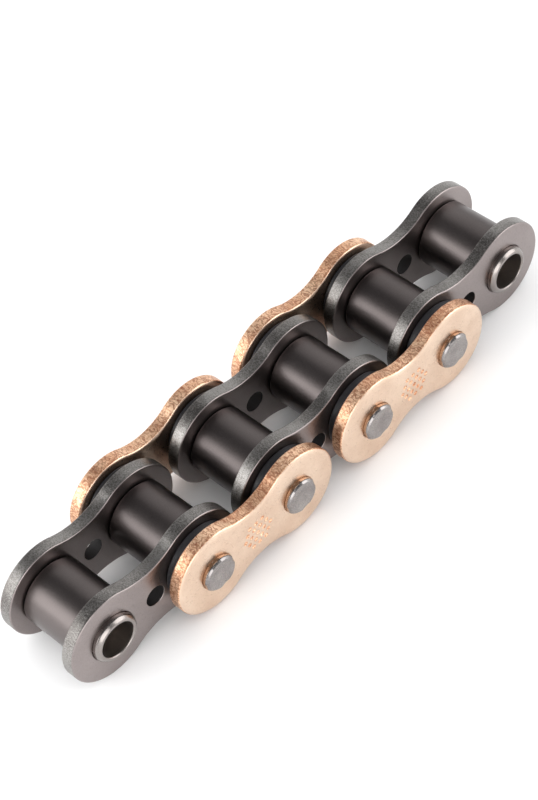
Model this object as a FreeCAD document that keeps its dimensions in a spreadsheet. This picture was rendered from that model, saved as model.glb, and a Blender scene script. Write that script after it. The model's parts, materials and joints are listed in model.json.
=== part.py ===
import FreeCAD, Part
import math
import os

import Sketcher
from FreeCAD import Vector

# A length of sealed roller chain for a motorcycle's rear wheel, pulled out straight and
# standing on the edges of its plates.  Three inner links (two plates pressed on two
# bushings, with a loose roller on each bushing) alternate with two outer links (two plates
# pressed on two pins).  Each pin turns inside a bushing, and a rubber X-ring round the
# bushing's end closes that joint on both sides.  Both ends are inner links, open for the
# pins of a connecting link.
#
# Frame: +X along the chain, +Y along the pins, +Z up.  The origin is under the middle of
# the chain, on the surface that it stands on.

INNER_LINKS = 3
OUTER_LINKS = INNER_LINKS - 1
AXES = 2 * INNER_LINKS
SIDES = {"left": 1, "right": -1}

# Driving sizes, in millimetres.
SIZES = {
    "pitch": 15.875,            # from one pin to the next
    "inner_width": 10.0,        # between an inner link's two plates
    "inner_thickness": 2.0,
    "outer_thickness": 2.2,
    "seal_gap": 1.55,           # between an inner plate and the outer plate beside it
    "inner_lobe": 7.3,          # radius of an inner plate's round ends
    "inner_waist": 5.4,         # half the height of an inner plate at its waist
    "outer_lobe": 6.95,
    "outer_waist": 4.8,
    "centre_hole": 1.6,         # radius of the hole through an inner plate's middle
    "plate_edge": 0.3,          # rounding round a plate's outline
    "pin_radius": 2.7,
    "pin_head": 2.76,           # radius of the riveted end
    "pin_proud": 0.9,           # how far the riveted end stands out of the plate
    "pin_edge": 0.3,
    "bushing_wall": 0.94,
    "bushing_proud": 1.1,       # how far a bushing stands out of the inner plate
    "bushing_edge": 0.3,
    "roller_radius": 5.08,
    "roller_edge": 0.35,
    "seal_radius": 5.8,         # outside of the X-ring
    "seal_groove": 0.32,        # half the width of the groove in each of its four sides
    "seal_hollow": 0.36,        # radius of that groove
    "seal_edge": 0.25,
    "running": 0.06,            # radial clearance of a pin in its bushing, and of a roller
    "roller_float": 0.15,       # end clearance of a roller, each side
    "seal_clearance": 0.05,     # between the X-ring and the outer plate
}

# Sizes that follow from the driving ones.
BUSHING_BORE = "(Sizes.pin_radius + Sizes.running)"
BUSHING_RADIUS = f"({BUSHING_BORE} + Sizes.bushing_wall)"
ROLLER_BORE = f"({BUSHING_RADIUS} + Sizes.running)"
INNER_FACE = "(Sizes.inner_width / 2)"
INNER_BACK = f"({INNER_FACE} + Sizes.inner_thickness)"
OUTER_FACE = f"({INNER_BACK} + Sizes.seal_gap)"
OUTER_BACK = f"({OUTER_FACE} + Sizes.outer_thickness)"
BUSHING_END = f"({INNER_BACK} + Sizes.bushing_proud)"
PIN_END = f"({OUTER_BACK} + Sizes.pin_proud)"
ROLLER_END = f"({INNER_FACE} - Sizes.roller_float)"
SEAL_WIDTH = "(Sizes.seal_gap - Sizes.seal_clearance)"

doc = FreeCAD.newDocument("drive_chain")


def make_sheet():
    """Write every driving size into the sheet, one row each, with its name as alias."""
    table = doc.addObject("Spreadsheet::Sheet", "Sizes")
    for row, (name, size) in enumerate(SIZES.items(), start=1):
        table.set(f"A{row}", name)
        table.set(f"B{row}", str(size))
        table.setAlias(f"B{row}", name)
    doc.recompute()
    return table


sheet = make_sheet()


def value(expression):
    """The present value of an expression on the sheet."""
    result = sheet.evalExpression(expression)
    return float(getattr(result, "Value", result))


def axis_x(index):
    """Where along the chain the axis with this index lies, counted from 0 at the low end."""
    return f"(Sizes.pitch * {index - (AXES - 1) / 2})"


def new_body(name):
    """A body whose label is the name of the node."""
    body = doc.addObject("PartDesign::Body", name)
    body.Label = name
    return body


def place(body, along, across):
    """Set a body at a distance along the chain and across it, at the height of the axes."""
    body.setExpression("Placement.Base.x", along)
    body.setExpression("Placement.Base.y", across)
    body.setExpression("Placement.Base.z", "Sizes.inner_lobe")


def new_sketch(body, name, plane):
    """An empty sketch on one of the body's own origin planes."""
    sketch = body.newObject("Sketcher::SketchObject", name)
    origin = [item for item in body.Origin.OriginFeatures if item.Role == plane][0]
    sketch.AttachmentSupport = (origin, [""])
    sketch.MapMode = "FlatFace"
    return sketch


def bind(sketch, kind, *references, expression):
    """Add a dimension to a sketch and bind it to the sheet."""
    index = sketch.addConstraint(Sketcher.Constraint(kind, *references, value(expression)))
    sketch.setExpression(f"Constraints[{index}]", expression)


def tie_point(sketch, geometry, position, x_expression, y_expression):
    """Hold a point of the sketch at a place from its origin; None keeps it on that axis."""
    for kind, expression, axis in (("DistanceX", x_expression, -2), ("DistanceY", y_expression, -1)):
        if expression is None:
            sketch.addConstraint(Sketcher.Constraint("PointOnObject", geometry, position, axis))
        else:
            bind(sketch, kind, -1, 1, geometry, position, expression=expression)


def add_circle(sketch, x_expression, radius_expression):
    """A hole's circle on the sketch's horizontal axis."""
    x = value(x_expression) if x_expression else 0
    circle = Part.Circle(Vector(x, 0, 0), Vector(0, 0, 1), value(radius_expression))
    index = sketch.addGeometry(circle, False)
    tie_point(sketch, index, 3, x_expression, None)
    bind(sketch, "Radius", index, expression=radius_expression)


def add_outline(sketch, corners, hollow_sides=(), hollow_radius=None):
    """A closed outline through the corners, straight but for the hollow sides."""
    points = [Vector(value(x or "0"), value(y or "0"), 0) for x, y in corners]
    joints = []
    for index, start in enumerate(points):
        finish = points[(index + 1) % len(points)]
        if index in hollow_sides:
            radius = value(hollow_radius)
            half = (finish - start).Length / 2
            inward = Vector(0, 0, 1).cross(finish - start).normalize()
            depth = radius - math.sqrt(radius ** 2 - half ** 2)
            side = Part.Arc(start, (start + finish) / 2 + inward * depth, finish)
        else:
            side = Part.LineSegment(start, finish)
        geometry = sketch.addGeometry(side, False)
        turned = sketch.getPoint(geometry, 1).distanceToPoint(start) > 1e-6
        joints.append((geometry, 2, 1) if turned else (geometry, 1, 2))
    for index, (geometry, first, last) in enumerate(joints):
        following, its_first, unused = joints[(index + 1) % len(joints)]
        sketch.addConstraint(Sketcher.Constraint("Coincident", geometry, last, following, its_first))
        tie_point(sketch, geometry, first, *corners[index])
        if index in hollow_sides:
            bind(sketch, "Radius", geometry, expression=hollow_radius)


def add_figure_eight(sketch, lobe, waist):
    """A link plate's outline: a round lobe about each axis, and a hollow waist between."""
    half_pitch = value("Sizes.pitch / 2")
    lobe_radius = value(lobe)
    half_waist = value(waist)
    hollow = f"((Sizes.pitch ^ 2 / 4 + {waist} ^ 2 - {lobe} ^ 2) / (2 * ({lobe} - {waist})))"
    hollow_radius = value(hollow)
    hollow_z = half_waist + hollow_radius
    reach = lobe_radius / (lobe_radius + hollow_radius)
    touch = Vector(-half_pitch * (1 - reach), hollow_z * reach, 0)
    corners = [
        touch,
        Vector(touch.x, -touch.y, 0),
        Vector(-touch.x, -touch.y, 0),
        Vector(-touch.x, touch.y, 0),
    ]
    middles = [
        Vector(-half_pitch - lobe_radius, 0, 0),
        Vector(0, -half_waist, 0),
        Vector(half_pitch + lobe_radius, 0, 0),
        Vector(0, half_waist, 0),
    ]
    arcs = []
    for index, middle in enumerate(middles):
        arc = Part.Arc(corners[index], middle, corners[(index + 1) % 4])
        geometry = sketch.addGeometry(arc, False)
        turned = sketch.getPoint(geometry, 1).distanceToPoint(corners[index]) > 1e-6
        arcs.append((geometry, 2, 1) if turned else (geometry, 1, 2))
    for index, (geometry, unused, last) in enumerate(arcs):
        following, its_first, unused = arcs[(index + 1) % 4]
        sketch.addConstraint(Sketcher.Constraint("Tangent", geometry, last, following, its_first))
        bind(sketch, "Radius", geometry, expression=lobe if index % 2 == 0 else hollow)
    left, right = arcs[0][0], arcs[2][0]
    sketch.addConstraint(Sketcher.Constraint("Symmetric", left, 3, right, 3, -1, 1))
    sketch.addConstraint(Sketcher.Constraint("PointOnObject", right, 3, -1))
    bind(sketch, "DistanceX", -1, 1, right, 3, expression="Sizes.pitch / 2")


def round_edges(body, base, name, radius, chosen):
    """Round those edges of the last feature that the test chooses."""
    doc.recompute()
    edges = [f"Edge{index}" for index, edge in enumerate(base.Shape.Edges, start=1) if chosen(edge)]
    fillet = body.newObject("PartDesign::Fillet", name)
    fillet.Base = (base, edges)
    fillet.setExpression("Radius", radius)
    return fillet


def spin(body, sketch):
    """Turn a profile round the body's own Y axis."""
    turned = body.newObject("PartDesign::Revolution", f"{body.Name}_turned")
    turned.Profile = sketch
    turned.ReferenceAxis = (sketch, ["V_Axis"])
    turned.Angle = 360
    return turned


def at_radius(radius, levels):
    """A test for a round edge about Y of this radius, at one of these levels."""
    def chosen(edge):
        round_edge = isinstance(edge.Curve, Part.Circle) and abs(edge.Curve.Radius - radius) < 1e-6
        return round_edge and min(abs(edge.Curve.Center.y - level) for level in levels) < 1e-6
    return chosen


def make_plate(name, middle, across, thickness, lobe, waist, bore, centre_hole=None):
    """A link plate: the outline padded, the holes pocketed, and the outline's edges rounded."""
    body = new_body(name)
    shape_sketch = new_sketch(body, f"{name}_outline", "XZ_Plane")
    add_figure_eight(shape_sketch, lobe, waist)
    blank = body.newObject("PartDesign::Pad", f"{name}_blank")
    blank.Profile = shape_sketch
    blank.Midplane = True
    blank.setExpression("Length", thickness)
    hole_sketch = new_sketch(body, f"{name}_holes", "XZ_Plane")
    add_circle(hole_sketch, "Sizes.pitch / 2", bore)
    add_circle(hole_sketch, "-Sizes.pitch / 2", bore)
    if centre_hole:
        add_circle(hole_sketch, None, centre_hole)
    holes = body.newObject("PartDesign::Pocket", f"{name}_pierced")
    holes.Profile = hole_sketch
    holes.Type = "ThroughAll"
    holes.Midplane = True
    round_edges(body, holes, f"{name}_edges", "Sizes.plate_edge", is_outline_edge)
    place(body, middle, across)
    return body


def is_outline_edge(edge):
    """True for an arc of a plate's outline, which lies in a face and isn't a whole circle."""
    return edge.BoundBox.YLength < 1e-6 and not edge.isClosed()


def make_pin(name, along):
    """A pin with a riveted end outside each outer plate."""
    body = new_body(name)
    far_face = f"({PIN_END} + {OUTER_BACK})"
    length = f"(2 * {PIN_END})"
    corners = [
        (None, None),
        ("Sizes.pin_head", None),
        ("Sizes.pin_head", "Sizes.pin_proud"),
        ("Sizes.pin_radius", "Sizes.pin_proud"),
        ("Sizes.pin_radius", far_face),
        ("Sizes.pin_head", far_face),
        ("Sizes.pin_head", length),
        (None, length),
    ]
    sketch = new_sketch(body, f"{name}_profile", "XY_Plane")
    add_outline(sketch, corners)
    turned = spin(body, sketch)
    ends = at_radius(value("Sizes.pin_head"), (0, value(length)))
    round_edges(body, turned, f"{name}_edges", "Sizes.pin_edge", ends)
    place(body, along, f"-{PIN_END}")


def make_tube(name, along, bore, radius, end, edge):
    """A tube about an axis, with its outer edges rounded: a bushing or a roller."""
    body = new_body(name)
    length = f"(2 * {end})"
    corners = [(bore, None), (radius, None), (radius, length), (bore, length)]
    sketch = new_sketch(body, f"{name}_profile", "XY_Plane")
    add_outline(sketch, corners)
    turned = spin(body, sketch)
    round_edges(body, turned, f"{name}_edges", edge, at_radius(value(radius), (0, value(length))))
    place(body, along, f"-{end}")


def make_seal(name, along, side):
    """An X-ring: a square ring with a groove round each of its four sides, as if squeezed."""
    body = new_body(name)
    inside = BUSHING_RADIUS
    outside = "Sizes.seal_radius"
    before = f"(({inside} + {outside}) / 2 - Sizes.seal_groove)"
    beyond = f"(({inside} + {outside}) / 2 + Sizes.seal_groove)"
    below = f"({SEAL_WIDTH} / 2 - Sizes.seal_groove)"
    above = f"({SEAL_WIDTH} / 2 + Sizes.seal_groove)"
    corners = [
        (inside, None),
        (before, None),
        (beyond, None),
        (outside, None),
        (outside, below),
        (outside, above),
        (outside, SEAL_WIDTH),
        (beyond, SEAL_WIDTH),
        (before, SEAL_WIDTH),
        (inside, SEAL_WIDTH),
        (inside, above),
        (inside, below),
    ]
    sketch = new_sketch(body, f"{name}_profile", "XY_Plane")
    add_outline(sketch, corners, hollow_sides=(1, 4, 7, 10), hollow_radius="Sizes.seal_hollow")
    turned = spin(body, sketch)
    levels = (0, value(SEAL_WIDTH))
    inner_corner = at_radius(value(inside), levels)
    outer_corner = at_radius(value(outside), levels)
    round_edges(
        body,
        turned,
        f"{name}_edges",
        "Sizes.seal_edge",
        lambda edge: inner_corner(edge) or outer_corner(edge),
    )
    start = INNER_BACK if side > 0 else f"-({INNER_BACK} + {SEAL_WIDTH})"
    place(body, along, start)


def make_inner_link(number):
    """Two plates, pressed on the bushings of axes 2n - 2 and 2n - 1."""
    middle = f"({axis_x(2 * number - 2)} + Sizes.pitch / 2)"
    for side_name, side in SIDES.items():
        make_plate(
            f"inner_plate_{number}_{side_name}",
            middle,
            f"{side} * ({INNER_FACE} + Sizes.inner_thickness / 2)",
            "Sizes.inner_thickness",
            "Sizes.inner_lobe",
            "Sizes.inner_waist",
            BUSHING_RADIUS,
            "Sizes.centre_hole",
        )


def make_outer_link(number):
    """Two plates, pressed on the pins of axes 2n - 1 and 2n."""
    middle = f"({axis_x(2 * number - 1)} + Sizes.pitch / 2)"
    for side_name, side in SIDES.items():
        make_plate(
            f"outer_plate_{number}_{side_name}",
            middle,
            f"{side} * ({OUTER_FACE} + Sizes.outer_thickness / 2)",
            "Sizes.outer_thickness",
            "Sizes.outer_lobe",
            "Sizes.outer_waist",
            "Sizes.pin_radius",
        )


for link in range(1, INNER_LINKS + 1):
    make_inner_link(link)
for link in range(1, OUTER_LINKS + 1):
    make_outer_link(link)
for index in range(AXES):
    make_tube(
        f"bushing_{index + 1}",
        axis_x(index),
        BUSHING_BORE,
        BUSHING_RADIUS,
        BUSHING_END,
        "Sizes.bushing_edge",
    )
    make_tube(
        f"roller_{index + 1}",
        axis_x(index),
        ROLLER_BORE,
        "Sizes.roller_radius",
        ROLLER_END,
        "Sizes.roller_edge",
    )
for index in range(1, AXES - 1):
    make_pin(f"pin_{index}", axis_x(index))
    for side_name, side in SIDES.items():
        make_seal(f"seal_{index}_{side_name}", axis_x(index), side)

doc.recompute()

for item in doc.Objects:
    if "Invalid" in item.State or "Error" in item.State:
        raise RuntimeError(f"{item.Name} failed: {item.State}")

bodies = [item for item in doc.Objects if item.TypeId == "PartDesign::Body"]
for body in bodies:
    if body.Shape.isNull() or not body.Shape.isValid() or len(body.Shape.Solids) != 1:
        raise RuntimeError(f"{body.Label} isn't one valid solid")

os.makedirs("parts", exist_ok=True)
for body in bodies:
    body.Shape.exportStep(f"parts/{body.Label}.step")
print(f"{len(bodies)} nodes written")
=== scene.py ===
# %% [markdown]
# # A drive chain, link by link
#
# This lesson dresses a CAD model of a motorcycle's drive chain. The CAD holds every size and
# every joint, so the script only makes better looking pieces in the same places. A chain is a
# good first metal subject, because it is six shapes repeated: two kinds of plate, a bushing, a
# roller, a pin and a rubber ring. Each shape gets one function, and loops place the copies.

import json
import math

import bmesh
import bpy
from mathutils import Matrix, Vector, noise


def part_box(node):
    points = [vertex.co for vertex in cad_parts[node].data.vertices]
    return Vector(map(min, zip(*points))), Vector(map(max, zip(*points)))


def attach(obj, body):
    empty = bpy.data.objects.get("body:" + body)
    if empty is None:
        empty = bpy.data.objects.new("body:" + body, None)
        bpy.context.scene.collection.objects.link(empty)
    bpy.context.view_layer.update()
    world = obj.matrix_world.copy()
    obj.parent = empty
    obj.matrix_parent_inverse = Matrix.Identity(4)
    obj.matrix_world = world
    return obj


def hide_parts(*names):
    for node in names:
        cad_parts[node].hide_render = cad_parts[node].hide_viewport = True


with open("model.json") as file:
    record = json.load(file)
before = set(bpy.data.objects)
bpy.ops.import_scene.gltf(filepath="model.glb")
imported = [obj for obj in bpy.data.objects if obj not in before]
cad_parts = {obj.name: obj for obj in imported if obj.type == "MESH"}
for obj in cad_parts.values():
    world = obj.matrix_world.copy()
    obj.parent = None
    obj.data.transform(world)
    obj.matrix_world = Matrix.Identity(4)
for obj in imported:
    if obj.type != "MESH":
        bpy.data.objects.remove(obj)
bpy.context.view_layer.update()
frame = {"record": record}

# %% [markdown]
# Blender works in metres, and a chain's details are tenths of a millimetre, so a name for one
# millimetre keeps the numbers readable. Points nearer than TOUCH count as one. The pitch and
# the height of the axes come from the record: its two open bores are the first and the last of
# six axes, which lie evenly apart. The outsides of all pieces are read from the boxes of the CAD
# pieces, and only what a box doesn't show, such as a bore or a waist, is written here.

# %% Read the sizes
MM = 0.001
TOUCH = 0.001 * MM
bores = {mount["name"]: Vector(mount["pos_m"]) for mount in frame["record"]["mounts"]}
AXES = 6
PITCH = (bores["bore_high_x"].x - bores["bore_low_x"].x) / (AXES - 1)
AXIS_Z = bores["bore_low_x"].z
BODIES = frame["record"]["behaviour"]["bodies"]
BODY_OF = {node: body for body, nodes in BODIES.items() for node in nodes}


def across(node):
    """Where a piece begins and ends across the chain, along Y."""
    low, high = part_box(node)
    return round(low.y, 6), round(high.y, 6)


def half_height(node):
    """Half of a piece's height, to a hundredth of a millimetre: a lobe's or a tube's radius."""
    low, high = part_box(node)
    return round((high.z - low.z) / 2, 5)


print("pitch", round(PITCH / MM, 3), "inner lobe", half_height("inner_plate_1_left") / MM)
print("outer lobe", half_height("outer_plate_1_left") / MM, "roller", half_height("roller_1") / MM)

# %% [markdown]
# Each finish is a Principled shader with a little noise in its colour, its roughness and its
# bump. Bare steel is never one even grey: rolling, tumbling and plating all leave clouds and
# grain. The noises read Object coordinates, which are in metres here, so their scale is the
# number of lumps in a metre, and the Mapping node can stretch a grain along one axis. Torn
# steel also has dark veins: they lie where another noise is close to its middle value, which is
# a thin wandering line, and a few specks of the grain break them up.

# %% A helper for metals and rubber


def finish(
    name,
    colours,
    metal,
    roughness,
    grain,
    clouds=60,
    stretch=(1, 1, 1),
    bump=0.004,
    contrast=0.25,
    cracks=None,
):
    """A material: two colours in clouds, a grain in bump and roughness, and cracks if asked for."""
    material = bpy.data.materials.new(name)
    material.use_nodes = True
    nodes = material.node_tree.nodes
    link = material.node_tree.links.new
    shader = nodes["Principled BSDF"]
    shader.inputs["Metallic"].default_value = metal
    place = nodes.new("ShaderNodeTexCoord")
    mapping = nodes.new("ShaderNodeMapping")
    mapping.inputs["Scale"].default_value = stretch
    link(place.outputs["Object"], mapping.inputs["Vector"])
    cloud = nodes.new("ShaderNodeTexNoise")
    cloud.inputs["Scale"].default_value = clouds
    cloud.inputs["Detail"].default_value = 3
    link(place.outputs["Object"], cloud.inputs["Vector"])
    speck = nodes.new("ShaderNodeTexNoise")
    speck.inputs["Scale"].default_value = grain
    speck.inputs["Detail"].default_value = 4
    speck.inputs["Roughness"].default_value = 0.6
    link(mapping.outputs["Vector"], speck.inputs["Vector"])
    amount = nodes.new("ShaderNodeMath")
    amount.operation = "MULTIPLY_ADD"
    amount.inputs[1].default_value = contrast * 2
    link(speck.outputs["Fac"], amount.inputs[0])
    shifted = nodes.new("ShaderNodeMath")
    shifted.operation = "ADD"
    shifted.inputs[1].default_value = -contrast
    link(cloud.outputs["Fac"], shifted.inputs[0])
    link(shifted.outputs["Value"], amount.inputs[2])
    ramp = nodes.new("ShaderNodeValToRGB")
    ramp.color_ramp.elements[0].position = 0.3
    ramp.color_ramp.elements[0].color = (*colours[0], 1)
    ramp.color_ramp.elements[1].position = 0.7
    ramp.color_ramp.elements[1].color = (*colours[1], 1)
    link(amount.outputs["Value"], ramp.inputs["Fac"])
    link(ramp.outputs["Color"], shader.inputs["Base Color"])
    if cracks:
        crack_scale, crack_colour, crack_width = cracks
        veins = nodes.new("ShaderNodeTexNoise")
        veins.inputs["Scale"].default_value = crack_scale
        veins.inputs["Detail"].default_value = 2
        veins.inputs["Distortion"].default_value = 0.8
        link(mapping.outputs["Vector"], veins.inputs["Vector"])
        centred = nodes.new("ShaderNodeMath")
        centred.operation = "SUBTRACT"
        centred.inputs[1].default_value = 0.5
        link(veins.outputs["Fac"], centred.inputs[0])
        distance = nodes.new("ShaderNodeMath")
        distance.operation = "ABSOLUTE"
        link(centred.outputs["Value"], distance.inputs[0])
        line = nodes.new("ShaderNodeMapRange")
        line.inputs["From Max"].default_value = crack_width
        line.inputs["To Min"].default_value = 1.6
        line.inputs["To Max"].default_value = 0
        link(distance.outputs["Value"], line.inputs["Value"])
        broken = nodes.new("ShaderNodeMath")
        broken.operation = "MULTIPLY"
        link(line.outputs["Result"], broken.inputs[0])
        link(speck.outputs["Fac"], broken.inputs[1])
        stain = nodes.new("ShaderNodeMix")
        stain.data_type = "RGBA"
        stain.inputs[7].default_value = (*crack_colour, 1)
        link(broken.outputs["Value"], stain.inputs["Factor"])
        link(ramp.outputs["Color"], stain.inputs[6])
        link(stain.outputs[2], shader.inputs["Base Color"])
    gloss = nodes.new("ShaderNodeMapRange")
    gloss.inputs["From Min"].default_value = 0.3
    gloss.inputs["From Max"].default_value = 0.7
    gloss.inputs["To Min"].default_value = roughness[0]
    gloss.inputs["To Max"].default_value = roughness[1]
    link(speck.outputs["Fac"], gloss.inputs["Value"])
    link(gloss.outputs["Result"], shader.inputs["Roughness"])
    relief = nodes.new("ShaderNodeBump")
    relief.inputs["Strength"].default_value = 1
    relief.inputs["Distance"].default_value = bump * MM
    link(speck.outputs["Fac"], relief.inputs["Height"])
    link(relief.outputs["Normal"], shader.inputs["Normal"])
    return material


gunmetal = finish(
    "gunmetal_face", [(0.245, 0.212, 0.205), (0.335, 0.292, 0.284)], 1, (0.27, 0.37), 4200
)
gunmetal_rim = finish(
    "gunmetal_sheared_rim",
    [(0.14, 0.13, 0.122), (0.36, 0.345, 0.33)],
    1,
    (0.28, 0.46),
    7500,
    clouds=150,
    stretch=(1, 0.5, 1),
    bump=0.014,
    contrast=0.7,
)
# The walls of the holes are painted near-black: painted shade for the deep shadow inside the holes.
hole_painted_shade = finish(
    "hole_wall_painted_shade", [(0.012, 0.011, 0.011), (0.022, 0.02, 0.02)], 0, (0.6, 0.75), 4200
)
hole_painted_shade.node_tree.nodes["Principled BSDF"].inputs["Specular IOR Level"].default_value = 0.25
rose_gold = finish(
    "rose_gold_face",
    [(0.69, 0.51, 0.385), (0.79, 0.615, 0.48)],
    1,
    (0.26, 0.34),
    3600,
    clouds=260,
    bump=0.002,
)
# The copper of the sheared rim. It also lines the stamped pits, where it is painted shade inside
# them.
rose_rim_and_pit_shade = finish(
    "rose_gold_sheared_rim_and_pit_shade",
    [(0.61, 0.31, 0.175), (0.97, 0.67, 0.45)],
    0.82,
    (0.3, 0.46),
    5200,
    clouds=200,
    stretch=(1, 0.55, 1),
    bump=0.03,
    contrast=0.6,
    cracks=(1700, (0.3, 0.085, 0.04), 0.075),
)
dark_steel = finish(
    "roller_steel", [(0.105, 0.09, 0.088), (0.15, 0.131, 0.127)], 1, (0.3, 0.4), 5200, bump=0.005
)
bright_steel = finish(
    "bushing_steel", [(0.25, 0.225, 0.215), (0.31, 0.28, 0.265)], 1, (0.2, 0.28), 3200, bump=0.001
)
bore_steel = finish(
    "bushing_bore_steel", [(0.36, 0.32, 0.3), (0.42, 0.38, 0.35)], 1, (0.3, 0.4), 3200, bump=0.001
)
pin_steel = finish(
    "pin_steel",
    [(0.24, 0.22, 0.217), (0.34, 0.32, 0.31)],
    1,
    (0.22, 0.3),
    4800,
    clouds=420,
    bump=0.0015,
)
# Straw-brown for the side of a pin's head: a painted reflection of the copper plate beside it.
pin_reflection_paint = finish(
    "pin_head_side_painted_reflection",
    [(0.42, 0.28, 0.2), (0.52, 0.37, 0.27)],
    1,
    (0.24, 0.34),
    4800,
    clouds=420,
    bump=0.0015,
)
rubber = finish(
    "seal_rubber", [(0.012, 0.012, 0.014), (0.022, 0.022, 0.026)], 0, (0.32, 0.5), 2600
)
print("finishes:", sorted(material.name for material in bpy.data.materials))

# %% [markdown]
# Every piece ends the same way: its bmesh becomes an object at the origin, it rides on the body
# that its CAD node belongs to, and it stands for that node. A Weighted Normal modifier makes
# big flat faces win over the small faces of a rounded edge, so that flats look flat.

# %% A helper that turns a bmesh into a piece
SHARP = math.radians(38)


def settle(bm, name, node, materials):
    """Close a mesh off as a piece that replaces a CAD node and moves with its body."""
    bmesh.ops.remove_doubles(bm, verts=bm.verts, dist=TOUCH / 2)
    bmesh.ops.recalc_face_normals(bm, faces=bm.faces)
    open_edges = [edge for edge in bm.edges if len(edge.link_faces) != 2]
    mesh = bpy.data.meshes.new(name)
    for face in bm.faces:
        face.smooth = True
    for edge in bm.edges:
        edge.smooth = len(edge.link_faces) == 2 and edge.calc_face_angle() < SHARP
    bm.to_mesh(mesh)
    bm.free()
    for material in materials:
        mesh.materials.append(material)
    piece = bpy.data.objects.new(name, mesh)
    bpy.context.scene.collection.objects.link(piece)
    even = piece.modifiers.new("flats stay flat", "WEIGHTED_NORMAL")
    even.mode = "FACE_AREA"
    even.weight = 80
    even.keep_sharp = True
    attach(piece, BODY_OF[node])
    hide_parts(node)
    return piece, len(open_edges)


def stand_up(bm, axis_x, middle_y):
    """Turn a shape whose axis is Z until its axis is Y, and place it."""
    turn = Matrix.Rotation(math.radians(90), 4, "X")
    move = Matrix.Translation((axis_x, middle_y, AXIS_Z))
    bmesh.ops.transform(bm, matrix=move @ turn, verts=bm.verts)


# %% [markdown]
# ## The plates
#
# A link plate is blanked from strip steel with a punch, so its outline is two round lobes
# joined by two hollow arcs, and its rim is sheared: smooth where the punch bit, torn where the
# steel broke away. A quarter of the outline is two spins of one vertex, first round the lobe's
# centre and then, the other way, round the hollow's. Two mirrors complete it.

# %% The outline of a plate


def plate_outline(bm, lobe, waist, step):
    """A closed ring of edges: half a lobe spun, half a hollow spun, then mirrored twice."""
    hollow = (PITCH ** 2 / 4 + waist ** 2 - lobe ** 2) / (2 * (lobe - waist))
    lean = math.atan2(waist + hollow, PITCH / 2)
    corner = bm.verts.new((PITCH / 2 + lobe, 0, 0))
    lobe_turn = math.pi - lean
    hollow_turn = math.pi / 2 - lean
    spun = bmesh.ops.spin(
        bm,
        geom=[corner],
        cent=(PITCH / 2, 0, 0),
        axis=(0, 0, 1),
        angle=lobe_turn,
        steps=round(lobe * lobe_turn / step),
    )
    touch = [item for item in spun["geom_last"] if isinstance(item, bmesh.types.BMVert)]
    bmesh.ops.spin(
        bm,
        geom=touch,
        cent=(0, waist + hollow, 0),
        axis=(0, 0, 1),
        angle=-hollow_turn,
        steps=round(hollow * hollow_turn / step),
    )
    for axis in ("X", "Y"):
        bmesh.ops.mirror(bm, geom=bm.verts[:] + bm.edges[:], axis=axis, merge_dist=TOUCH)
    bmesh.ops.remove_doubles(bm, verts=bm.verts, dist=TOUCH)
    return bm.edges[:]


trial = bmesh.new()
ring = plate_outline(trial, 7.3 * MM, 5.4 * MM, 0.5 * MM)
print("outline: edges", len(ring), "open ends", sum(len(v.link_edges) != 2 for v in trial.verts))
print("outline box", [round(max(v.co[i] for v in trial.verts) / MM, 3) for i in range(3)])
trial.free()

# %% [markdown]
# A punched plate has a rolled edge where the punch entered. Insetting the flat face several
# times, each time a little further in and a little further up, rounds that edge: the steps
# follow a quarter of an ellipse. What is left of the face is then opened, ringed with circles
# for the holes, and filled again around them.

# %% Rolled edges and pierced faces


def roll_edge(bm, face, inward, upward, steps):
    """Inset a face in steps along a quarter ellipse, and give back the flat that is left."""
    done_in, done_up = 0.0, 0.0
    for step in range(1, steps + 1):
        angle = math.pi / 2 * step / steps
        now_in = inward * (1 - math.cos(angle))
        now_up = upward * math.sin(angle)
        bmesh.ops.inset_region(
            bm,
            faces=[face],
            thickness=now_in - done_in,
            depth=now_up - done_up,
            use_even_offset=True,
            use_boundary=True,
        )
        done_in, done_up = now_in, now_up
    return face


def circle_edges(bm, x, y, z, radius, segments):
    """A ring of edges, without a face."""
    made = bmesh.ops.create_circle(
        bm,
        cap_ends=False,
        radius=radius,
        segments=segments,
        matrix=Matrix.Translation((x, y, z)),
    )
    return list({edge for vert in made["verts"] for edge in vert.link_edges})


PIT_MOUTH = 0.36 * MM
PIT_DEPTH = 0.2 * MM


def pierce(bm, front, back, holes, pits=(), pitted=1, segments=72):
    """Open two facing flats, put the holes through them, press the pits and fill what is left."""
    ends = {}
    for face in (front, back):
        level = face.calc_center_median().z
        sense = 1 if level > 0 else -1
        border = face.edges[:]
        bmesh.ops.delete(bm, geom=[face], context="FACES_ONLY")
        for index, (x, y, radius, chamfer) in enumerate(holes):
            mouth = circle_edges(bm, x, y, level, radius + chamfer, segments)
            throat = circle_edges(bm, x, y, level - sense * chamfer, radius, segments)
            border += mouth
            bmesh.ops.bridge_loops(bm, edges=mouth + throat)
            ends.setdefault(index, []).extend(throat)
        for x, y in pits if sense == pitted else ():
            mouth = circle_edges(bm, x, y, level, PIT_MOUTH, 16)
            slope = circle_edges(bm, x, y, level - sense * PIT_DEPTH * 0.7, PIT_MOUTH * 0.75, 16)
            bottom = circle_edges(bm, x, y, level - sense * PIT_DEPTH, PIT_MOUTH * 0.4, 16)
            border += mouth
            bmesh.ops.bridge_loops(bm, edges=mouth + slope)
            bmesh.ops.bridge_loops(bm, edges=slope + bottom)
            bmesh.ops.contextual_create(bm, geom=bottom)
        bmesh.ops.triangle_fill(bm, edges=border, use_beauty=True, normal=(0, 0, sense))
    for throats in ends.values():
        bmesh.ops.bridge_loops(bm, edges=throats)


# %% [markdown]
# The rim is cut into rows across its thickness, and each of its points is then moved in or out
# by a hundredth of a millimetre or two. The noise that decides is stretched across the rim, in
# the direction that the punch moved, so the marks look like shearing and not like sand.

# %% The sheared rim
FINE_GRAIN, FINE_STREAK = 4200, 1100
COARSE_GRAIN, COARSE_STREAK = 1100, 500
COARSE_SHARE = 0.8


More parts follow.
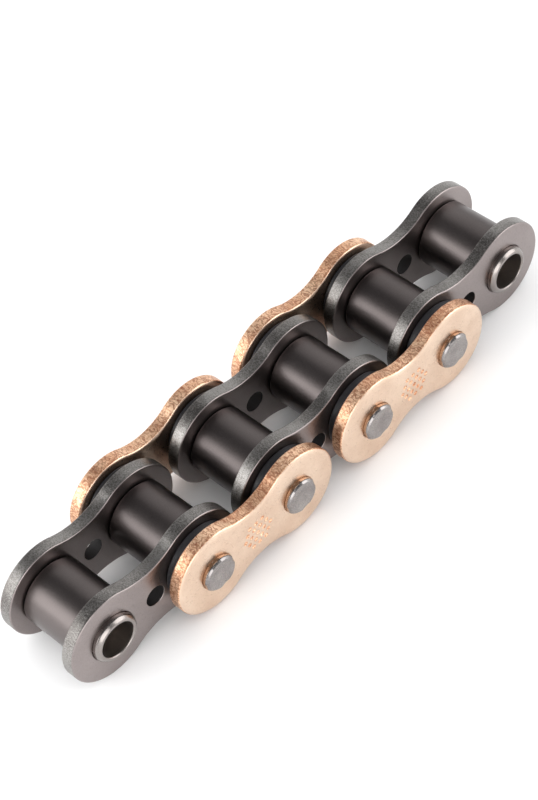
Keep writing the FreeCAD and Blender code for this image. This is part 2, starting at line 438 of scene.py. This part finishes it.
def shear_rim(bm, half, rows, depth, seed):
    """Cut the rim into rows and roughen it. half is half the rim's own width."""
    tall = [
        edge
        for edge in bm.edges
        if all(abs(abs(v.co.z) - half) < TOUCH for v in edge.verts)
        and abs(edge.verts[0].co.z - edge.verts[1].co.z) > half
        and all(len(v.link_edges) >= 3 for v in edge.verts)
    ]
    bmesh.ops.subdivide_edges(bm, edges=tall, cuts=rows, use_grid_fill=True)
    bm.normal_update()
    moved = 0
    for vert in bm.verts:
        if abs(vert.co.z) < half - TOUCH and abs(vert.normal.z) < 0.3 and vert.is_manifold:
            x, y, z = vert.co
            fine = Vector((x * FINE_GRAIN, y * FINE_GRAIN, z * FINE_STREAK + seed))
            coarse = Vector((x * COARSE_GRAIN, y * COARSE_GRAIN, z * COARSE_STREAK + seed))
            push = noise.noise(fine) + COARSE_SHARE * noise.noise(coarse)
            vert.co += Vector((vert.normal.x, vert.normal.y, 0)) * (push * depth)
            moved += 1
    return moved


OUTLINE_STEP = 0.14 * MM
ROLL_STEPS = 6
RIM_ROWS = 9
RIM_DEPTH = 0.009 * MM
RIM_SHARE_OF_ROLL = 0.55
SKIN = 0.02 * MM


def dress_plate(node, waist, holes, finishes, slot, roll, seed, pits=()):
    """One link plate, from its outline to its finished piece."""
    near, far = across(node)
    low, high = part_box(node)
    lobe = half_height(node)
    thickness = far - near
    half_rim = thickness / 2 - roll[1]
    bm = bmesh.new()
    ring = plate_outline(bm, lobe, waist, OUTLINE_STEP)
    back = bmesh.ops.contextual_create(bm, geom=ring)["faces"][0]
    bmesh.ops.translate(bm, verts=bm.verts, vec=(0, 0, -half_rim))
    grown = bmesh.ops.extrude_face_region(bm, geom=[back], use_keep_orig=True)
    front = [item for item in grown["geom"] if isinstance(item, bmesh.types.BMFace)][0]
    bmesh.ops.translate(bm, verts=front.verts, vec=(0, 0, 2 * half_rim))
    bm.normal_update()
    for face, sense in ((front, 1), (back, -1)):
        if face.normal.z * sense < 0:
            face.normal_flip()
    front = roll_edge(bm, front, roll[0], roll[1], ROLL_STEPS)
    back = roll_edge(bm, back, roll[0], roll[1], ROLL_STEPS)
    outside = 1 if node.endswith("right") else -1
    pierce(bm, front, back, holes, pits, outside)
    moved = shear_rim(bm, half_rim, RIM_ROWS, RIM_DEPTH, seed)
    bm.normal_update()
    rim_limit = half_rim + roll[1] * RIM_SHARE_OF_ROLL
    for face in bm.faces:
        centre = face.calc_center_median()
        on_rim = abs(centre.z) < rim_limit and abs(face.normal.z) < 0.75
        in_hole = any((centre.xy - Vector(hole[:2])).length < hole[2] + hole[3] for hole in holes)
        pressed = abs(centre.z) < thickness / 2 - SKIN
        in_pit = pressed and any((centre.xy - Vector(pit)).length < PIT_MOUTH for pit in pits)
        # hole walls take the near-black painted shade
        if in_hole and abs(face.normal.z) < 0.5:
            face.material_index = 2
        # pit walls take the darker rim colour as painted shade; the rims keep it as their own
        # sheared colour
        elif in_pit or on_rim and not in_hole:
            face.material_index = 1
    stand_up(bm, (low.x + high.x) / 2, (near + far) / 2)
    return settle(bm, f"{node}_dressed", node, finishes), moved


# %% [markdown]
# The outer plates carry a stamped field on their outside faces. Here it is a hexagon of nineteen
# punch dots, in rows of three, four, five, four and three, which means nothing and reads the
# same either way up. The inner plates have a plain hole instead, which saves weight.

# %% Make all ten plates
BUSHING_RADIUS = half_height("bushing_1")
SHANK = 2.7 * MM
INNER_WAIST = 5.4 * MM
OUTER_WAIST = 4.8 * MM
CENTRE_HOLE = 1.6 * MM
CENTRE_CHAMFER = 0.04 * MM
CHAMFER = 0.12 * MM
inner_holes = [
    (-PITCH / 2, 0, BUSHING_RADIUS, CHAMFER),
    (PITCH / 2, 0, BUSHING_RADIUS, CHAMFER),
    (0, 0, CENTRE_HOLE, CENTRE_CHAMFER),
]
outer_holes = [(-PITCH / 2, 0, SHANK, CHAMFER), (PITCH / 2, 0, SHANK, CHAMFER)]
PIT_SPACING = 1.2 * MM
PIT_ROWS_APART = 1.0 * MM
pits = [
    (PIT_SPACING * (column - (count - 1) / 2), PIT_ROWS_APART * row)
    for row, count in zip((-2, -1, 0, 1, 2), (3, 4, 5, 4, 3))
    for column in range(count)
]
INNER_ROLL = (0.28 * MM, 0.22 * MM)
OUTER_ROLL = (0.8 * MM, 0.4 * MM)
inner_finishes = [gunmetal, gunmetal_rim, hole_painted_shade]
outer_finishes = [rose_gold, rose_rim_and_pit_shade, hole_painted_shade]
inner = (INNER_WAIST, inner_holes, inner_finishes, "inner_plate", INNER_ROLL)
outer = (OUTER_WAIST, outer_holes, outer_finishes, "outer_plate", OUTER_ROLL)
plates = [node for node in sorted(BODY_OF) if "plate" in node]
for index, node in enumerate(plates):
    seed = 10 * (index + 1)
    if node.startswith("inner"):
        made = dress_plate(node, *inner, seed)
    else:
        made = dress_plate(node, *outer, seed, pits)
    (piece, open_edges), moved = made
    faces = len(piece.data.polygons)
    print(piece.name, faces, "faces, open edges", open_edges, "rim points", moved)

# %% [markdown]
# ## The tubes
#
# Bushings and rollers are cold-formed tubes. Half a section, which is a rectangle with its two
# outer corners cut off, is spun round the axis, and a bevel then rounds what is still sharp. The
# bushing's end is cut off further than the roller's, so that a seal slides on without harm.

# %% Bushings and rollers
TUBE_STEPS = 128


def dress_tube(node, bore, chamfer, edge, bore_edge, slot, materials):
    """A tube: half its section spun round its axis, with its outer and bore edges rounded."""
    near, far = across(node)
    low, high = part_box(node)
    radius = half_height(node)
    half = (far - near) / 2
    bm = bmesh.new()
    corners = [(bore, -half), (radius - chamfer, -half), (radius, chamfer - half)]
    corners += [(radius, half - chamfer), (radius - chamfer, half), (bore, half)]
    verts = [bm.verts.new((x, 0, z)) for x, z in corners]
    for first, second in zip(verts, verts[1:] + verts[:1]):
        bm.edges.new((first, second))
    bmesh.ops.remove_doubles(bm, verts=verts, dist=TOUCH)
    bmesh.ops.spin(
        bm,
        geom=bm.verts[:] + bm.edges[:],
        cent=(0, 0, 0),
        axis=(0, 0, 1),
        angle=2 * math.pi,
        steps=TUBE_STEPS,
        use_merge=True,
    )
    bmesh.ops.recalc_face_normals(bm, faces=bm.faces)
    for size, offset in ((radius, edge), (radius - chamfer, edge), (bore, bore_edge)):
        rings = [
            e
            for e in bm.edges
            if all(abs(v.co.xy.length - size) < TOUCH for v in e.verts)
            and abs(e.verts[0].co.z - e.verts[1].co.z) < TOUCH
        ]
        bmesh.ops.bevel(
            bm,
            geom=rings,
            offset=offset,
            offset_type="OFFSET",
            segments=4,
            profile=0.5,
            affect="EDGES",
            material=-1,
        )
    for face in bm.faces:
        face.material_index = 1 if face.calc_center_median().xy.length < bore + SKIN else 0
    stand_up(bm, (low.x + high.x) / 2, (near + far) / 2)
    return settle(bm, f"{node}_dressed", node, materials)


BUSHING_BORE = BUSHING_RADIUS - 0.94 * MM
ROLLER_BORE = BUSHING_RADIUS + 0.06 * MM
BUSHING_EDGES = (0.5 * MM, 0.16 * MM, 0.26 * MM)
ROLLER_EDGES = (0.2 * MM, 0.15 * MM, 0.2 * MM)
tubes = {
    "bushing": (BUSHING_BORE, *BUSHING_EDGES, "bushing", [bright_steel, bore_steel]),
    "roller": (ROLLER_BORE, *ROLLER_EDGES, "roller", [dark_steel, dark_steel]),
}
for index in range(1, AXES + 1):
    for kind, facts in tubes.items():
        piece, open_edges = dress_tube(f"{kind}_{index}", *facts)
        print(piece.name, len(piece.data.polygons), "faces, open edges", open_edges)

# %% [markdown]
# ## The pins
#
# A pin is ground bar. After it is pressed through the outer plates its ends are staked: four
# small punches push notches into the rim, and the steel they move holds the plate on. The flat
# of the end is cut into rings so that it has points to push, and the notches are pushed into it.
# The side of the head is painted straw-brown: a painted reflection of the copper plate beside it.

# %% The staked pins
STAKE_TURN = 98
STAKE_REACH = 0.85 * MM
STAKE_WIDTH = 0.8 * MM
STAKE_DEPTH = 0.16 * MM
STAKE_INWARD = 0.12 * MM
STAKE_TALL = 0.75 * MM


def stake(bm, level, radius):
    """Push four notches into the rim of a pin's end: down, and a little inwards."""
    for vert in bm.verts:
        if vert.co.z < level - STAKE_TALL:
            continue
        for quarter in range(4):
            angle = math.radians(STAKE_TURN + 90 * quarter)
            outward = Vector((math.cos(angle), math.sin(angle), 0))
            along = vert.co.dot(outward)
            beside = abs(vert.co.dot(Vector((-outward.y, outward.x, 0))))
            share = min(1, (along - (radius - STAKE_REACH)) / STAKE_REACH)
            if share > 0 and beside < STAKE_WIDTH:
                push = share * (1 - (beside / STAKE_WIDTH) ** 2)
                vert.co -= outward * (STAKE_INWARD * push * share)
                vert.co.z -= STAKE_DEPTH * push * (1 if vert.co.z > level - 0.3 * MM else 0.3)


SIDE_BELOW = 0.38 * MM
PIN_STEPS = 160


def dress_pin(node):
    """A pin: half its profile spun, staked at its end and mirrored."""
    near, far = across(node)
    low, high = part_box(node)
    head = half_height(node)
    half = (far - near) / 2
    profile = [
        (0, half - 0.12 * MM),
        (1.55 * MM, half - 0.12 * MM),
        (2.05 * MM, half - 0.02 * MM),
        (2.25 * MM, half),
        (head - 0.4 * MM, half),
        (head - 0.3 * MM, half - 0.03 * MM),
        (head - 0.07 * MM, half - 0.26 * MM),
        (head, half - 0.4 * MM),
        (head, half - 0.75 * MM),
        (SHANK, half - 0.85 * MM),
        (SHANK, 0),
    ]
    bm = bmesh.new()
    verts = [bm.verts.new((x, 0, z)) for x, z in profile]
    edges = [bm.edges.new(pair) for pair in zip(verts, verts[1:])]
    long_edges = [edge for edge in edges[:-1] if edge.calc_length() > 0.3 * MM]
    bmesh.ops.subdivide_edges(bm, edges=long_edges, cuts=4)
    bmesh.ops.spin(
        bm,
        geom=bm.verts[:] + bm.edges[:],
        cent=(0, 0, 0),
        axis=(0, 0, 1),
        angle=2 * math.pi,
        steps=PIN_STEPS,
        use_merge=True,
    )
    bmesh.ops.remove_doubles(bm, verts=bm.verts, dist=TOUCH / 2)
    stake(bm, half, head)
    whole = bm.verts[:] + bm.edges[:] + bm.faces[:]
    bmesh.ops.mirror(bm, geom=whole, axis="Z", merge_dist=TOUCH)
    # the shank and the side of the head below the end take the painted reflection
    for face in bm.faces:
        face.material_index = 1 if abs(face.calc_center_median().z) < half - SIDE_BELOW else 0
    stand_up(bm, (low.x + high.x) / 2, (near + far) / 2)
    return settle(bm, f"{node}_dressed", node, [pin_steel, pin_reflection_paint])


for index in range(1, AXES - 1):
    piece, open_edges = dress_pin(f"pin_{index}")
    print(piece.name, len(piece.data.polygons), "faces, open edges", open_edges)

# %% [markdown]
# ## The X-rings
#
# An X-ring's section has four lobes with a hollow between each two, so that it seals on two
# narrow lines a side and keeps a store of grease. A small circle is made squarer by a power of
# its sine and cosine, hollowed four times round by a cosine, and spun round the pin's axis. The
# factor just over one brings its corners out to the box of the CAD piece.

# %% The seals
SEAL_STEPS = 96


def dress_seal(node):
    """An X-ring: a circle pressed to four lobes and spun."""
    near, far = across(node)
    low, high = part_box(node)
    outside = half_height(node)
    inside = BUSHING_RADIUS
    half_wide = (outside - inside) / 2
    half_tall = (far - near) / 2
    bm = bmesh.new()
    made = bmesh.ops.create_circle(bm, cap_ends=False, radius=1, segments=40)
    for vert in made["verts"]:
        angle = math.atan2(vert.co.y, vert.co.x)
        hollow = 1.09 - 0.18 * ((1 + math.cos(4 * angle)) / 2) ** 2
        parts = (math.cos(angle), math.sin(angle))
        square = [math.copysign(abs(part) ** 0.55, part) for part in parts]
        middle = (inside + outside) / 2
        out = middle + square[0] * half_wide * hollow
        vert.co = Vector((out, 0, square[1] * half_tall * hollow))
    bmesh.ops.spin(
        bm,
        geom=bm.verts[:] + bm.edges[:],
        cent=(0, 0, 0),
        axis=(0, 0, 1),
        angle=2 * math.pi,
        steps=SEAL_STEPS,
        use_merge=True,
    )
    stand_up(bm, (low.x + high.x) / 2, (near + far) / 2)
    return settle(bm, f"{node}_dressed", node, [rubber])


for node in sorted(BODY_OF):
    if node.startswith("seal"):
        piece, open_edges = dress_seal(node)
        print(piece.name, len(piece.data.polygons), "faces, open edges", open_edges)

# %% [markdown]
# ## The floor, the light and the camera
#
# Polished and satin metal shows what is around it more than it shows itself. The chain stands on
# a white floor, which its side faces mirror, and the room is white low down and dim above, which
# keeps the tops of the rollers dark.

# %% A pale floor
bpy.ops.mesh.primitive_plane_add(size=3, location=(0, 0, -0.01 * MM))
floor = bpy.context.object
floor.name = "floor"
floor_white = bpy.data.materials.new("floor_white")
floor_white.use_nodes = True
floor_shader = floor_white.node_tree.nodes["Principled BSDF"]
floor_shader.inputs["Base Color"].default_value = (0.9, 0.9, 0.9, 1)
floor_shader.inputs["Roughness"].default_value = 0.5
floor.data.materials.append(floor_white)
print("floor, mm wide:", floor.dimensions.x / MM)

# %% [markdown]
# The room is only a colour that depends on how high one looks: white at the horizon, and dark
# grey from three quarters of the way up.

# %% The room
world = bpy.data.worlds.new("studio")
bpy.context.scene.world = world
world.use_nodes = True
sky = world.node_tree.nodes
sky_link = world.node_tree.links.new
background = sky["Background"]
direction = sky.new("ShaderNodeTexCoord")
split = sky.new("ShaderNodeSeparateXYZ")
sky_link(direction.outputs["Generated"], split.inputs["Vector"])
height = sky.new("ShaderNodeValToRGB")
height.color_ramp.elements[0].position = 0.0
height.color_ramp.elements[0].color = (1, 1, 1, 1)
height.color_ramp.elements[1].position = 0.75
height.color_ramp.elements[1].color = (0.18, 0.18, 0.185, 1)
sky_link(split.outputs["Z"], height.inputs["Fac"])
sky_link(height.outputs["Color"], background.inputs["Color"])
background.inputs["Strength"].default_value = 1.0
print("room changes between heights", [stop.position for stop in height.color_ramp.elements])

# %% [markdown]
# Each lamp has one job. The key, low on the left behind the chain, draws a pale band along every
# roller and lights the left ends of the rims. Two front lamps stand side by side with a dark gap
# between them, and that gap breaks the bright crescents on the pins and the bushings. A lamp
# overhead that the metal doesn't mirror lifts only the floor, so that it stays white.

# %% The lamps
AIM = Vector((0, 0, AXIS_Z))


def lamp(name, towards, distance, size, radiance, mirrored=True):
    """A soft lamp in a direction from the chain, facing it, as bright as asked all over."""
    data = bpy.data.lights.new(name, "AREA")
    data.shape = "RECTANGLE"
    data.size, data.size_y = size
    data.energy = radiance * math.pi * size[0] * size[1]
    light = bpy.data.objects.new(name, data)
    bpy.context.scene.collection.objects.link(light)
    light.location = AIM + Vector(towards).normalized() * distance
    light.rotation_euler = (AIM - light.location).to_track_quat("-Z", "Y").to_euler()
    light.visible_glossy = mirrored
    return light


# direction, distance in metres, width and height in metres, radiance
lamp("key_left_rear", (-0.80, 0.50, 0.39), 0.6, (0.8, 0.38), 2.7)
lamp("right_rear", (0.62, 0.50, 0.62), 0.7, (0.5, 0.5), 0.6)
lamp("front_right", (0.68, -0.64, 0.34), 0.7, (0.52, 0.46), 2.8)
lamp("front_left", (-0.42, -0.86, 0.32), 0.7, (0.5, 0.42), 2.8)
lamp("floor_light", (-0.1, 0.12, 1.0), 0.7, (1.4, 1.4), 1.35, mirrored=False)
for data in bpy.data.lights:
    print(data.name, round(data.energy, 3), "W")

# %% [markdown]
# The camera looks down at about fifty degrees and is turned a little about its own axis, so
# that the chain runs from the lower left to the upper right of a tall frame. The lens is long,
# which keeps the far links nearly as large as the near ones.

# %% The camera
AZIMUTH, ELEVATION, ROLL = -37.13, 50.80, -12.19
DISTANCE = 319.1 * MM
TARGET = Vector((-1.29, 0, 12.82)) * MM
turn = (
    Matrix.Rotation(math.radians(AZIMUTH), 4, "Z")
    @ Matrix.Rotation(math.radians(90 - ELEVATION), 4, "X")
    @ Matrix.Rotation(math.radians(ROLL), 4, "Z")
)
camera_data = bpy.data.cameras.new("camera")
camera_data.lens = 105.24
camera_data.sensor_width = 36
camera_data.clip_start = 0.01
camera = bpy.data.objects.new("camera", camera_data)
bpy.context.scene.collection.objects.link(camera)
camera.matrix_world = Matrix.Translation(TARGET + turn.col[2].xyz * DISTANCE) @ turn
bpy.context.scene.camera = camera
bpy.context.scene.view_settings.view_transform = "Standard"

print("camera at, mm:", [round(part / MM, 1) for part in camera.matrix_world.translation])
